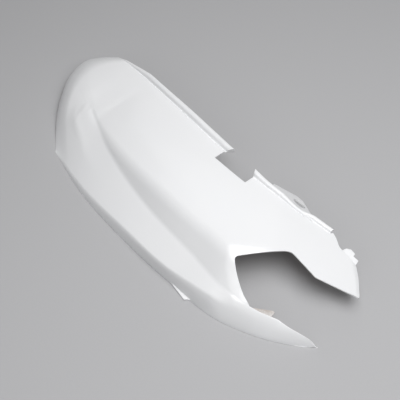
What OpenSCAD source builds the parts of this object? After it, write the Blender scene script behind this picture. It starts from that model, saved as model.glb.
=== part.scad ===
// Scooter rear side panel: one thin injection-moulded shell, outer face up.
// X runs from the rounded tail to the two front prongs, Y from the lower rim
// to the seat edge, and Z out of the painted face. The origin is under the
// middle of the panel, on the surface that it lies on.

/* [Overall size] */
// Length from the tail to the root line of the prong tips
panel_length = 690; // [560:5:830]
// Width between the lower rim and the seat edge
panel_width = 240; // [200:5:290]
// Height of the crown above the surface that the panel lies on
panel_depth = 72; // [60:1:87]
// Thickness of the moulded skin
skin = 2.5; // [2:0.1:3.5]

/* [Seat edge lip] */
// Width of the raised lip along the seat edge
lip_width = 12.5; // [10:0.5:16]
// How much of that width is lost from the middle to the front end
lip_taper = 2.6; // [0:0.1:4]
// Height of the lip over the face
lip_height = 4.5; // [3:0.25:6]
// Start of the lip, forward of the tail's end
lip_start = 60; // [40:5:90]
// Distance over which the lip grows out of the tail
lip_fade = 90; // [60:5:120]
// End of the lip, back from the front station
lip_end_back = 102; // [92:1:112]

/* [Seat edge notch] */
// Rear end of the notch, back from the front station
notch_back = 318; // [290:1:345]
// Length of the notch along the edge
notch_length = 69; // [50:1:85]
// Depth of the notch below the lip's groove
notch_depth = 21; // [14:1:28]

/* [Fork opening] */
// Upper corner of the opening, back from the front station
fork_back = 162; // [150:1:175]
// How much further forward the lower corner of the opening lies
fork_slant = 63; // [50:1:72]
// Length of the opening's steep upper side, along the panel
fork_rise_run = 47; // [40:1:54]
// Corner of the upper prong's underside, back from the front station
prong_corner_back = 62; // [54:1:70]
// Radius of the rounded upper corner
fork_round = 7; // [3:0.5:12]
// Width at which the sharp prong tips are cut blunt
tip_width = 3; // [2:0.5:6]
// Slope at which the lower prong's tip dives
tip_dive = 0.3; // [0.15:0.05:0.4]
// Width of the folded strip along the upper prong's end
end_fold = 9; // [6:0.5:14]
// Slope added by that fold
end_fold_slope = 0.3; // [0:0.05:0.5]

/* [Mounting ear] */
// Rear end of the ear, back from the front station
ear_back = 218; // [205:1:232]
// Length of the ear along the lip
ear_length = 85; // [74:1:95]
// Radius of the ear's rounded nose
ear_nose = 13; // [10:0.5:16]
// Place of the nose's centre along the ear
ear_nose_along = 43; // [36:1:50]
// Distance of the nose's centre from the lip
ear_nose_reach = 26; // [20:1:32]
// Diameter of the hole in the ear
ear_hole = 22; // [16:0.5:24]
// Place of the hole's centre along the ear
ear_hole_along = 50; // [44:1:56]
// Distance of the hole's centre from the lip
ear_hole_reach = 14; // [13:0.5:18]
// Angle at which the ear drops away from the lip
ear_drop = 41; // [30:1:55]
// Angle at which the ear sinks under the lip towards its front end
ear_twist = 6.5; // [3:0.5:8]
// Thickness of the ear
ear_thickness = 3; // [2.5:0.1:4]

/* [Rim, tongue and hook] */
// Length of the locating lug on the lower rim
lug_length = 40; // [30:1:50]
// How far the lug stands out of the rim
lug_reach = 6; // [3:0.5:8]
// Front end of the lug, back from the front station
lug_back = 184; // [170:1:195]
// Height of the shelf behind the lower prong
tongue_height = 20; // [16:0.5:23]
// Width of the shelf at its front end
tongue_width = 25; // [20:1:29]
// Length of the shelf
tongue_length = 35; // [28:1:42]
// How far the hook stands out of the upper prong
hook_reach = 13; // [10:0.5:16]
// Length of the hook along the prong's edge
hook_length = 30; // [24:1:34]

/* [Hidden] */

// Body lines. Each list gives one line at nine equally spaced stations along
// the panel; the first and the last lie beyond its ends and only steer it.
// Places across are from the middle line and heights from the floor, in mm,
// for a panel of the nominal width and depth.
nominal_width = 240;
nominal_depth = 72;
crease_y = [0, -44, -80.5, -105.5, -113, -114, -97, -34, 110];
crease_z = [0, 0, 0.6, 9.5, 19, 23.5, 31, 14, -20];
wall_run = [0, 0, 0.2, 3, 5, 4.2, 9, 5, 4];
crease_round = [3, 3, 3, 3, 3, 3, 12, 10, 10];
valley_y = [90, 50, 5, -40, -65, -75, -79, -22, 60];
valley_z = [42, 44, 52, 46, 41.5, 40.5, 37, 18, -10];
face_run = [-9, -9, -6, 10, 23, 31, 42, 50, 60];
face_slope = [1.2, 1.2, 1.2, 1.15, 1.1, 0.92, 0.75, 0.4, 0.4];
fold_share = [0.6, 0.6, 0.57, 0.45, 0.5, 0.5, 0.5, 0.5, 0.5];
fold_rise = [9, 9, 8, 1, 0, 0, 0, 0, 0];
crown_y = [70, 60, 2, 8, 16, 20, 25, 40, 40];
crown_rise = [4, 4, 2, 6, 7, 5, 2, 0, 0];
crown_round = [30, 30, 14, 16, 30, 60, 60, 60, 60];
seat_y = [118, 121, 112.5, 99.5, 88, 82.5, 98, 130, 160];
seat_z = [20, 42, 55, 63.5, 67, 65, 49, 14, -20];

// Outline of the tail: setback from the tip, at equal steps across
tail_setback = [185, 134, 77, 35, 5, -2, 55, 245];
tail_low = -87;
tail_step = 44;
tail_round = 38;
tail_round_top = 68;
tail_power = 1.9;

// The facet that frames the fork opening
frame_z = 66;
frame_fall = 0.27;
frame_climb = 0.18;
frame_round = 3;

half = panel_length / 2;
pitch = panel_length / 6;
wide = panel_width / nominal_width;
deep = panel_depth / nominal_depth;
neck_x = half - fork_back;
neck_low_x = neck_x + fork_slant;
prong_corner_x = half - prong_corner_back;
notch_x = half - notch_back;
notch_end_x = notch_x + notch_length;
lip_end_x = half - lip_end_back;
low_tip_x = half + 3;
up_tip_x = half - 2;

// Smooth blend of two slopes: 0 below the corner, d above it
function ramp(d, w) = d <= -w ? 0 : d >= w ? d : (d + w) * (d + w) / (4 * w);
function lerp(a, b, t) = a + (b - a) * t;
function clamp(t) = min(1, max(0, t));

// Value of a list of evenly spaced stations at place t, counted in stations
function along(v, t) =
    let (k = min(len(v) - 3, max(1, floor(t))), u = t - k, a = v[k], b = v[k + 1])
    let (ta = (b - v[k - 1]) / 2, tb = (v[k + 2] - a) / 2)
    (2 * u - 3) * u * u * (a - b) + a + u * ta * (1 - u) * (1 - u) - u * u * (1 - u) * tb;
function at(v, x) = along(v, (x + half) / pitch + 1);

function crease(x) = wide * at(crease_y, x);
function crease_top(x) = deep * max(0.3, at(crease_z, x));
function wall_width(x) = max(0.3, at(wall_run, x));
function valley(x) = wide * at(valley_y, x);
function face_width(x) = wide * at(face_run, x);
function seat(x) = wide * at(seat_y, x);

// Height of the face without the tail's rounding: a chain of facets across
// the panel, from the wall over the lower facet, the scooped face and the
// crown to the seat edge, with a rounding at each corner of the chain
function facets(x, y) =
    let (yc = crease(x), zc = crease_top(x), run = wall_width(x))
    let (ya = valley(x), za = deep * at(valley_z, x))
    let (face = max(0, face_width(x)), steep = at(face_slope, x) * deep / wide)
    let (yb = ya + face, zb = za + steep * face)
    let (yg = seat(x), zg = deep * at(seat_z, x))
    let (yf = max(yb + 1, wide * at(crown_y, x)))
    let (zf = lerp(zb, zg, (yf - yb) / (yg - yb)) + deep * at(crown_rise, x))
    let (share = at(fold_share, x), ye = lerp(yc, ya, share))
    let (ze = lerp(zc, za, share) + deep * at(fold_rise, x))
    let (m_wall = zc / run, m_low = (ze - zc) / (ye - yc), m_mid = (za - ze) / (ya - ye))
    let (m_crown = (zf - zb) / (yf - yb), m_seat = (zg - zf) / (yg - yf))
    zc + m_wall * (y - yc)
        + (m_low - m_wall) * ramp(y - yc, min(at(crease_round, x), run))
        + (m_mid - m_low) * ramp(y - ye, 5)
        + (steep - m_mid) * ramp(y - ya, 3)
        + (m_crown - steep) * ramp(y - yb, 7 + 0.12 * face)
        + (m_seat - m_crown) * ramp(y - yf, at(crown_round, x));

// Plane of the frame facet, which cuts off the scooped face at its front end
function frame_plane(x, y) =
    deep * (frame_z - frame_fall * (x - neck_x) + frame_climb * (y - neck_y) / wide);
neck_y = valley(neck_x) + face_width(neck_x);

function tail_x(y) = -half + along(tail_setback, (y / wide - tail_low) / tail_step + 1);
function tail_rolling(y) = lerp(tail_round, tail_round_top, clamp((y / wide + 20) / 100));
function quarter(t) = pow(1 - pow(1 - clamp(t), tail_power), 1 / tail_power);

// Height of the painted face, without the lip
function form(x, y) =
    let (f = facets(x, y), p = x > neck_x - 80 ? frame_plane(x, y) : f + frame_round)
    (f - ramp(f - p, frame_round)) * quarter((x - tail_x(y)) / tail_rolling(y)) - front_drop(x, y);

// Dive of the lower prong's tip and fold along the upper prong's end
function front_drop(x, y) =
    x < lip_end_x ? 0 :
    y < 0 ? tip_dive * (ramp(x - half + 26, 12) - ramp(x - half + 12, 8)) :
    end_fold_slope * ramp(y - end_edge(x) + end_fold, 2);

// Edges of the outline, as places across the panel
function rim(x) = crease(x) - wall_width(x);
function prong_inner(x) =
    valley(neck_low_x) + 0.33 * (x - neck_low_x)
        + 0.4 * (ramp(x - half + 27, 20) - ramp(x - half + 15, 8));
function fork_upper(x) =
    neck_y + 1.5 * (x - neck_x)
        - 1.54 * ramp(x - neck_x - fork_rise_run, fork_round)
        + 0.54 * ramp(x - prong_corner_x, 3);
function prong_outer(x) =
    seat(lip_end_x) + 6.6 - 0.25 * (x - lip_end_x) - 0.37 * ramp(x - lip_end_x - 11, 6)
        + 0.61 * ramp(x - lip_end_x - 25, 3) - end_cut(x);
function end_cut(x) = 0.85 * ramp(x - half + 41, 4) + 0.25 * ramp(x - half + 23, 5);
function end_edge(x) =
    seat(lip_end_x) - 4 - 0.85 * (x - half + 41) - 0.25 * ramp(x - half + 23, 5);
function lip_across(x) =
    (lip_width - lip_taper * max(0, x) / lip_end_x) * max(0.12, clamp((x + half - lip_start) / lip_fade));

// Guide lines of the surface, from the lower rim to the outer edge of the lip
function guide(k, x) =
    k == 0 ? rim(x) :
    k == 1 ? min(crease(x), lerp(rim(x), guide(2, x), 0.6)) :
    k == 2 ? (x > neck_low_x ? max(prong_inner(x), rim(x) + tip_width) : valley(x)) :
    k == 3 ? (x > neck_x ? fork_upper(x) : valley(x) + 10 + ramp(face_width(x) - 10, 9)) :
    k == 4 ? guide(5, x) - notch_inset(x) :
    k == 5 ? (x > lip_end_x ? max(prong_outer(x), fork_upper(x) + tip_width) : seat(x)) :
    guide(5, x) + lip_across(x);
function notch_inset(x) =
    min(notch_depth - 0.05 * (x - notch_x), 0.4 * (guide(5, x) - guide(3, x)));

// Rows of the surface: [guide, share of the way to the next guide, offset]
ROWS = [
    [0, 0, 0], [1, 0, -3], [1, 0, 0], [1, 0, 3],
    [1, 0.25, 0], [1, 0.5, 0], [1, 0.75, 0],
    [2, 0, -3], [2, 0, 0], [2, 0, 3], [2, 0.3, 0], [2, 0.55, 0], [2, 0.78, 0],
    [3, 0, 0], [3, 0.08, 0], [3, 0.18, 0], [3, 0.35, 0], [3, 0.55, 0], [3, 0.77, 0],
    [4, 0, 0], [4, 0.5, 0],
    [5, 0, 0], [5, 0.1, 0], [5, 0.2, 0], [5, 0.36, 0], [5, 0.5, 0], [5, 0.85, 0], [6, 0, 0]
];
// Height of the lip's section at its rows, as a share of the lip's height:
// the groove, the step up, the flat top and the rounded outer edge
LIP_ROWS = [0, -0.25, -0.25, 0.85, 1, 1, 0.7];
valley_row = 8;
ridge_row = 13;
notch_row = 19;
groove_row = 21;

function row_place(r) = r[0] + r[1] + sign(r[2]) * 0.01;
function row_offset(r, x) =
    r[2] == 0 ? 0 :
    r[2] > 0 ? min(r[2], 0.2 * (guide(r[0] + 1, x) - guide(r[0], x))) :
    -min(-r[2], (r[0] == 1 ? 0.5 : 0.2) * (guide(r[0], x) - guide(r[0] - 1, x)));
function row_y(r, x) =
    let (a = guide(r[0], x))
    a + (r[1] == 0 ? 0 : r[1] * (guide(r[0] + 1, x) - a)) + row_offset(r, x);

// Place where a row meets the tail's outline or the opening's rear side
function left_side(y) =
    let (q = clamp((neck_y - y) / (neck_y - prong_inner(neck_low_x))))
    neck_x + fork_slant * (0.62 * q + 0.38 * q * q * q);
function meet_tail(r, a, b, n) =
    let (m = (a + b) / 2)
    n == 0 ? m : m < tail_x(row_y(r, m)) ? meet_tail(r, m, b, n - 1) : meet_tail(r, a, m, n - 1);
function meet_side(r, a, b, n) =
    let (m = (a + b) / 2)
    n == 0 ? m : m < left_side(row_y(r, m)) ? meet_side(r, m, b, n - 1) : meet_side(r, a, m, n - 1);

// Six stations along each row: tail, notch ends, neck, lip end and prong tip
function row_stations(r) =
    let (p = row_place(r), outer = max(0, p - 5))
    [
        meet_tail(r, -half, -half / 2, 24),
        notch_x + 10 * outer,
        notch_end_x - 8 * outer,
        p <= 2 ? neck_low_x + 10 - 5 * p :
            p < 3 ? meet_side(r, neck_x - 8, neck_low_x + 4, 24) : neck_x + 4 * (p - 3),
        p <= 2.5 ? half - 45 : lip_end_x,
        p <= 2.5 ? low_tip_x : up_tip_x
    ];
SPLITS = [24, 6, 9, 6, 9];
STEPS = [
    for (s = [0:4]) for (i = [0:SPLITS[s] - 1]) [s, pow(i / SPLITS[s], s == 0 ? 1.8 : 1)],
    [4, 1]
];
notch_col = SPLITS[0];
notch_end_col = notch_col + SPLITS[1];
neck_col = notch_end_col + SPLITS[2];
lip_end_col = neck_col + SPLITS[3];

// Outward normal of the face
function normal(x, y) =
    let (e = 0.4)
    let (n = [form(x - e, y) - form(x + e, y), form(x, y - e) - form(x, y + e), 2 * e])
    n / norm(n);

function face_point(x, y, j) =
    let (rise = j > groove_row ? LIP_ROWS[j - groove_row] * lip_height * lip_across(x) / lip_width : 0)
    [x, y, max(0, form(x, y) + rise)];
function inner_point(x, y) =
    let (p = [x, y, form(x, y)] - skin * normal(x, y))
    [p[0], p[1], max(0, p[2])];

rows = len(ROWS);
cols = len(STEPS);
stations = [for (r = ROWS) row_stations(r)];
plan = [
    for (s = STEPS) for (j = [0:rows - 1])
        let (x = lerp(stations[j][s[0]], stations[j][s[0] + 1], s[1])) [x, row_y(ROWS[j], x)]
];

// Cells of the surface that the fork opening, the notch and the lip's end take away
function kept(i, j) =
    i >= 0 && j >= 0 && i < cols - 1 && j < rows - 1
        && !(i >= neck_col && j >= valley_row && j < ridge_row)
        && !(i >= notch_col && i < notch_end_col && j >= notch_row)
        && !(i >= lip_end_col && j >= groove_row);

module shell() {
    count = cols * rows;
    outside = [for (k = [0:count - 1]) face_point(plan[k][0], plan[k][1], k % rows)];
    inside = [for (k = [0:count - 1]) inner_point(plan[k][0], plan[k][1])];
    faces = [
        for (i = [0:cols - 2]) for (j = [0:rows - 2]) if (kept(i, j))
            let (a = i * rows + j, b = a + rows, c = b + 1, d = a + 1)
            let (sides = [[a, b, i, j - 1], [b, c, i + 1, j], [c, d, i, j + 1], [d, a, i - 1, j]])
            each [
                [a, d, c], [a, c, b],
                [a + count, c + count, d + count], [a + count, b + count, c + count],
                for (s = sides) if (!kept(s[2], s[3]))
                    each [[s[0], s[1], s[1] + count], [s[0], s[1] + count, s[0] + count]]
            ]
    ];
    polyhedron(points = concat(outside, inside), faces = faces, convexity = 12);
}

// Tangent point from p on a circle, side 1 or -1
function tangent(p, c, r, side) =
    let (d = c - p, l = norm(d), a = side * acos(r / l))
    let (u = -d / l)
    c + r * [u[0] * cos(a) - u[1] * sin(a), u[0] * sin(a) + u[1] * cos(a)];

// Height of the lip's outer edge above the floor
function edge_point(x) = [x, guide(6, x), form(x, guide(6, x))];

// Reach of the ear at its rear end, and its root under the lip as shares of its
// length and depths below the lip's edge
ear_step = 8;
ear_root = [[0, 2.5], [0.3, 9], [0.7, 14], [1, 16]];
module ear_outline() {
    nose = [ear_nose_along, ear_nose_reach];
    rear = [0, ear_step];
    front = [ear_length, 0];
    polygon([
        for (p = ear_root) [p[0] * ear_length, -p[1]], front,
        tangent(front, nose, ear_nose, 1), nose, tangent(rear, nose, ear_nose, -1), rear
    ]);
    translate(nose) circle(r = ear_nose, $fn = 48);
}

// Frame of the ear: its rear end just over the lip's edge, its turn, and its
// fall towards the front, which is the lip's own fall and the twist
ear_rise = 1;
ear_rear = edge_point(half - ear_back);
ear_start = ear_rear + [0, 0, ear_rise];
ear_run = edge_point(half - ear_back + ear_length) - ear_rear;
ear_turn = atan2(ear_run[1], ear_run[0]);
ear_fall = atan2(-ear_run[2], norm([ear_run[0], ear_run[1]])) + ear_twist;
// How far a step along, away from and out of the ear goes across the panel
ear_across = [
    sin(ear_turn) * cos(ear_fall),
    cos(ear_turn) * cos(ear_drop) - sin(ear_turn) * sin(ear_fall) * sin(ear_drop),
    cos(ear_turn) * sin(ear_drop) + sin(ear_turn) * sin(ear_fall) * cos(ear_drop)
];
ear_y = ear_start[1] + ear_across * [ear_nose_along, ear_nose_reach, ear_thickness / 2]
    + ear_nose * norm([ear_across[0], ear_across[1]]);

// Ear on the lip's outer edge, dropping away from it, with a round hole
module ear() {
    translate(ear_start) rotate([0, ear_fall, ear_turn]) rotate([-ear_drop, 0, 0])
        translate([0, 0, -ear_thickness / 2]) difference() {
            linear_extrude(ear_thickness) ear_outline();
            translate([ear_hole_along, ear_hole_reach, -1])
                cylinder(d = ear_hole, h = ear_thickness + 2, $fn = 64);
        }
}

// Wedge-shaped locating lug on the lower rim
lug_x = half - lug_back - 3;
lug_y = rim(lug_x) - lug_reach;
module lug() {
    x0 = lug_x - lug_length + 3;
    linear_extrude(skin) polygon([
        [x0, rim(x0) + 2], [x0, rim(x0) + 0.5], [lug_x, lug_y],
        [lug_x + 5, rim(lug_x + 5) - 1], [lug_x + 10, rim(lug_x + 10) + 1.5]
    ]);
}

// Flat shelf inside the lower prong that shows beyond the prong's inner edge
module tongue() {
    x0 = neck_low_x - 7;
    x1 = x0 + tongue_length;
    y1 = prong_inner(x1) - 16 + tongue_width;
    translate([0, 0, tongue_height - skin]) linear_extrude(skin) polygon([
        [x0, prong_inner(x0) - 18], [x1, prong_inner(x1) - 16],
        [x1, y1 - 1.5], [x1 - 1.5, y1 + 6.5], [x1 - 5, y1 + 7],
        [x0, prong_inner(x0) + 6.5]
    ]);
}

// Stepped hook plate on the upper prong's outer edge: its distance forward of
// the lip's end, and its depth under the painted face
hook_start = 30;
hook_sink = 1.7;
module hook() {
    x0 = lip_end_x + hook_start;
    y0 = guide(5, x0);
    z0 = form(x0, y0);
    z1 = form(x0 + hook_length, guide(5, x0 + hook_length));
    translate([x0, y0, z0 - skin - hook_sink]) rotate([0, atan2(z0 - z1, hook_length), 0])
        linear_extrude(skin) polygon([
            [0, -4], [hook_length - 1, -4], [hook_length, 1],
            [hook_length - 2, hook_reach - 4], [hook_length - 12, hook_reach - 5],
            [hook_length - 13, hook_reach], [8, hook_reach], [2, hook_reach - 5], [0, 0]
        ]);
}

// Middle of the finished panel's box, which the lug and the ear's nose widen
xs = [for (p = plan) p[0]];
ys = [lug_y, ear_y, for (p = plan) p[1]];
centre = [(min(xs) + max(xs)) / 2, (min(ys) + max(ys)) / 2, 0];

module side_panel() {
    color("white") translate(-centre) union() {
        shell();
        ear();
        lug();
        tongue();
        hook();
    }
}

side_panel();
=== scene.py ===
# %% [markdown]
# # A scooter's rear side panel, laid face up
# The panel is one injection moulding: a skin of ABS 2.5 mm thick, painted gloss
# white outside and bare inside. Everything below is worked out from a few lines
# that run along the panel, in the same frame as the construction model. The panel
# lies still on its rim, so nothing here has to move.

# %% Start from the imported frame
import math

import bmesh
import bpy
import numpy as np
from mathutils import Matrix, Vector
from mathutils.kdtree import KDTree


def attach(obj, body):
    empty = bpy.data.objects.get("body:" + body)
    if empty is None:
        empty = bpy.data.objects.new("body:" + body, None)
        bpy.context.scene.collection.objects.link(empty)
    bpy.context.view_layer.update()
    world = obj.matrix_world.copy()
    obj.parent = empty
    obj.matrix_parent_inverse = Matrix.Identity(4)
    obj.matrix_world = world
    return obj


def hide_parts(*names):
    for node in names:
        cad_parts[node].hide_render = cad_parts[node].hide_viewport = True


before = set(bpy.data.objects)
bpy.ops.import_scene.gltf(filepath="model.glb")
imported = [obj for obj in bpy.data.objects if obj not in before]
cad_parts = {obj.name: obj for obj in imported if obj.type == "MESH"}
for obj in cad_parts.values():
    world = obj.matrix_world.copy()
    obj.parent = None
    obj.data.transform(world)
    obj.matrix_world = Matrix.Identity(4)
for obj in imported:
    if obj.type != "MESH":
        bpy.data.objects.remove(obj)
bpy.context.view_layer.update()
MM = 0.001

# %% [markdown]
# ## The lines of the body
# A stylist draws such a panel as a handful of lines that run from tail to front:
# the rim, the crease over the wall, the valley under the scooped face, the crown
# and the seat edge. Between them each section is a chain of nearly flat facets.
# The form could be pushed and pulled out of a plane by hand, but then no line would
# run evenly, and gloss paint shows every uneven line. So each line is given at nine
# stations, the first and last of them past the panel's ends, and a smooth curve
# runs through them.

# %% Lines at nine stations, in millimetres
HALF = 345.0
PITCH = 115.0
CREASE_Y = [0, -44, -80.5, -105.5, -113, -114, -97, -34, 110]
CREASE_Z = [0, 0, 0.6, 9.5, 19, 23.5, 31, 14, -20]
WALL_RUN = [0, 0, 0.2, 3, 5, 4.2, 9, 5, 4]
CREASE_ROUND = [3, 3, 3, 3, 3, 3, 12, 10, 10]
VALLEY_Y = [90, 50, 5, -40, -65, -75, -79, -22, 60]
VALLEY_Z = [42, 44, 52, 46, 41.5, 40.5, 37, 18, -10]
FACE_RUN = [-9, -9, -6, 10, 23, 31, 42, 50, 60]
FACE_SLOPE = [1.2, 1.2, 1.2, 1.15, 1.1, 0.92, 0.75, 0.4, 0.4]
FOLD_SHARE = [0.6, 0.6, 0.57, 0.45, 0.5, 0.5, 0.5, 0.5, 0.5]
FOLD_RISE = [9, 9, 8, 1, 0, 0, 0, 0, 0]
CROWN_Y = [70, 60, 2, 8, 16, 20, 25, 40, 40]
CROWN_RISE = [4, 4, 2, 6, 7, 5, 2, 0, 0]
CROWN_ROUND = [30, 30, 14, 16, 30, 60, 60, 60, 60]
SEAT_Y = [118, 121, 112.5, 99.5, 88, 82.5, 98, 130, 160]
SEAT_Z = [20, 42, 55, 63.5, 67, 65, 49, 14, -20]


# %% Curves, soft corners and eased steps
def along(values, place):
    """A smooth curve through evenly spaced values; place counts stations."""
    v = np.asarray(values, float)
    k = np.clip(np.floor(place), 1, len(v) - 3).astype(int)
    u = place - k
    a, b = v[k], v[k + 1]
    ta, tb = (b - v[k - 1]) / 2, (v[k + 2] - a) / 2
    return (2 * u - 3) * u * u * (a - b) + a + u * ta * (1 - u) ** 2 - u * u * (1 - u) * tb


def at(values, x):
    """A line's value at a place along the panel."""
    return along(values, (np.asarray(x, float) + HALF) / PITCH + 1)


def ramp(d, w):
    """0 below the corner and d above it, rounded over w each side."""
    return np.where(d <= -w, 0, np.where(d >= w, d, (d + w) ** 2 / (4 * w)))


def ease(value, start, end):
    """0 up to the start and 1 from the end, smooth between; either may be larger."""
    t = np.clip((value - start) / (end - start), 0, 1)
    return t * t * (3 - 2 * t)


def mix(a, b, t):
    return a + (b - a) * t


def kinked(x, start, slope, kinks):
    """A straight line from a point, whose slope changes at each kink.

    A kink is its place, the change of slope and how far it is rounded each side.
    """
    y = start[1] + slope * (x - start[0])
    for place, change, soft in kinks:
        y = y + change * ramp(x - place, soft)
    return y


def number(fn, *place):
    """One plain number out of a function that works on arrays."""
    return float(fn(*(np.array(float(v)) for v in place)))


print("seat edge in the middle:", float(at(SEAT_Y, 0)), "across,", float(at(SEAT_Z, 0)), "high")

# %% [markdown]
# ## The chain of facets
# Across the panel the face climbs the short wall, turns over the crease, runs along
# the lower facet with its low fold, turns up at the valley into the scooped face,
# and goes over the crown to the seat edge. A mould's corners are rounded, so that
# the plastic flows round them. The height is therefore one sum: the wall's slope,
# and at each corner the change of slope times a soft ramp. Towards the tail the
# corners grow softer and melt into a dome.

# %% The facets; pairs say where along the panel a change starts and ends
# The wall keeps a little height and width everywhere, so that it has a slope
LEAST = 0.3
RIDGES_MELT = (-205, -216)
FOLD_MELTS = (-226, -240)
TAIL_MELTS = (-235, -300)
VALLEY_ROUND, DOME_ROUND, TAIL_ROUND = 3, 11, 20
FOLD_ROUND = (4, 24)
RIDGE_ROUND, RIDGE_ROUND_GROWS = 7, 0.12
CROWN_WIDENS, CROWN_WIDTH = (-190, -250), (1, 45)
CROWN_SINKS = (-185, -230)


def crease(x):
    return at(CREASE_Y, x)


def wall_width(x):
    return np.maximum(LEAST, at(WALL_RUN, x))


def rim(x):
    return crease(x) - wall_width(x)


def facets(x, y):
    """Height of the chain of facets across the panel."""
    yc, zc, run = crease(x), np.maximum(LEAST, at(CREASE_Z, x)), wall_width(x)
    ya, za = at(VALLEY_Y, x), at(VALLEY_Z, x)
    face, steep = np.maximum(0, at(FACE_RUN, x)), at(FACE_SLOPE, x)
    yb, zb = ya + face, za + steep * face
    yg, zg = at(SEAT_Y, x), at(SEAT_Z, x)
    dome, shoulder = ease(x, *RIDGES_MELT), ease(x, *FOLD_MELTS)
    soft = VALLEY_ROUND + DOME_ROUND * dome + TAIL_ROUND * ease(x, *TAIL_MELTS)
    ridge = mix(RIDGE_ROUND + RIDGE_ROUND_GROWS * face, soft, dome)
    yf = np.maximum(yb + mix(*CROWN_WIDTH, ease(x, *CROWN_WIDENS)), at(CROWN_Y, x))
    rise = at(CROWN_RISE, x) * (1 - ease(x, *CROWN_SINKS))
    zf = mix(zb, zg, (yf - yb) / (yg - yb)) + rise
    share = at(FOLD_SHARE, x)
    ye, ze = mix(yc, ya, share), mix(zc, za, share) + at(FOLD_RISE, x)
    wall, low, mid = zc / run, (ze - zc) / (ye - yc), (za - ze) / (ya - ye)
    crown, side = (zf - zb) / (yf - yb), (zg - zf) / (yg - yf)
    return (
        zc
        + wall * (y - yc)
        + (low - wall) * ramp(y - yc, np.minimum(at(CREASE_ROUND, x), run))
        + (mid - low) * ramp(y - ye, mix(*FOLD_ROUND, shoulder))
        + (steep - mid) * ramp(y - ya, soft)
        + (crown - steep) * ramp(y - yb, ridge)
        + (side - crown) * ramp(y - yf, at(CROWN_ROUND, x))
    )


print("scooped face in the middle is", at(FACE_RUN, 0), "mm wide, slope", at(FACE_SLOPE, 0))

# %% [markdown]
# ## The lower prong
# Past the fork opening the lower facet runs on alone and ends in a pointed tip. On
# the real panel it is one roll there, from its edge in the opening over to the rim,
# and has no crease. A circle's arc would be too full, so the roll is an arch whose
# power can be set: 2 is an ellipse and 1 a straight slope. The edge in the opening
# is a line with small kinks, so it is written as one.

# %% Roll and inner edge of the lower prong
NECK_X = HALF - 162
NECK_LOW_X = NECK_X + 63
NECK_Y = float(at(VALLEY_Y, NECK_X) + at(FACE_RUN, NECK_X))
LOW_TIP_X = HALF + 3
LOW_TIP_WIDTH = 1.2
ROLL, ROLL_STARTS = 1.3, (190, 226)
PRONG_START = (NECK_LOW_X, float(at(VALLEY_Y, NECK_LOW_X)))
PRONG_SLOPE = 0.33
PRONG_KINKS = [
    (HALF - 83, 0.15, 3), (HALF - 58, -0.24, 2),
    (HALF - 27, 0.4, 20), (HALF - 19, 0.09, 4), (HALF - 15, -0.4, 8),
]


def prong_inner(x):
    """The lower prong's edge in the fork opening."""
    return kinked(x, PRONG_START, PRONG_SLOPE, PRONG_KINKS)


def prong_roll(x, y, height):
    """Rounds the lower prong's section into one roll, from its inner edge to its rim."""
    inner = np.where(x > NECK_LOW_X, prong_inner(x), at(VALLEY_Y, x))
    inner = np.maximum(inner, rim(x) + LOW_TIP_WIDTH)
    t = np.clip((y - rim(x)) / (inner - rim(x)), 0, 1)
    rolled = facets(x, inner) * (1 - (1 - t) ** ROLL) ** (1 / ROLL)
    return np.where(y < inner, mix(height, rolled, ease(x, *ROLL_STARTS)), height)


print("fork opening starts at", NECK_X, "above and", NECK_LOW_X, "below")

# %% [markdown]
# ## Two quiet steps in the face
# Two forms are too small for the stations. The lower facet ends at the tail in a low
# step with an arched edge, as if it were laid on the dome. Beside the fork opening
# a band slants down, so the scooped face ends in a point. Both could be stamped in
# with a texture, but then they would be missing from the mesh, so each is a small
# height, faded in and out, that is added to or taken off the face.

# %% Raised rear end of the lower facet, and band beside the fork opening
STEP_HEIGHT = 1.4
STEP_BACK, STEP_FRONT = (-227, -223), (-150, -215)
STEP_EDGE, STEP_TO_VALLEY = 1.5, (1, -14)
# The band starts at a corner and runs in a direction of length one, seen from above
BAND_CORNER, BAND_RUNS = (166.5, -49.9), (0.848, -0.529)
BAND_REAR, BAND_FRONT, BAND_TOP = (5, 30), (78, 58), (40, 18)
BAND_SLOPE, BAND_SOFT = 0.38, 3


def tail_facet(x, y):
    """The lower facet's raised rear end, which sinks into the face further forward."""
    valley = at(VALLEY_Y, x)
    fold = mix(crease(x), valley, at(FOLD_SHARE, x))
    over_fold = ease(y, fold - STEP_EDGE, fold + STEP_EDGE)
    under_valley = ease(y, *(valley + v for v in STEP_TO_VALLEY))
    return STEP_HEIGHT * ease(x, *STEP_BACK) * ease(x, *STEP_FRONT) * over_fold * under_valley


def fork_band(x, y):
    """How far the band beside the fork opening lies below the scooped face's plane."""
    dx, dy = x - BAND_CORNER[0], y - BAND_CORNER[1]
    forward = BAND_RUNS[0] * dx + BAND_RUNS[1] * dy
    beyond = BAND_RUNS[0] * dy - BAND_RUNS[1] * dx
    ends = ease(forward, *BAND_REAR) * ease(forward, *BAND_FRONT)
    return BAND_SLOPE * ends * ease(beyond, *BAND_TOP) * ramp(beyond, BAND_SOFT)


print("step of", STEP_HEIGHT, "mm at the tail; band slopes", BAND_SLOPE, "beside the fork")

# %% [markdown]
# ## The ends
# The tail is closed: the face rolls down to the floor along a curved line, over a
# longer stretch towards the seat. The upper prong is a flat plane that cuts the face
# off from above, with its end folded down a little, and the lower prong's tip dives.
# Cutting these with other solids would leave hard seams, so they are worked into the
# height.

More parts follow.
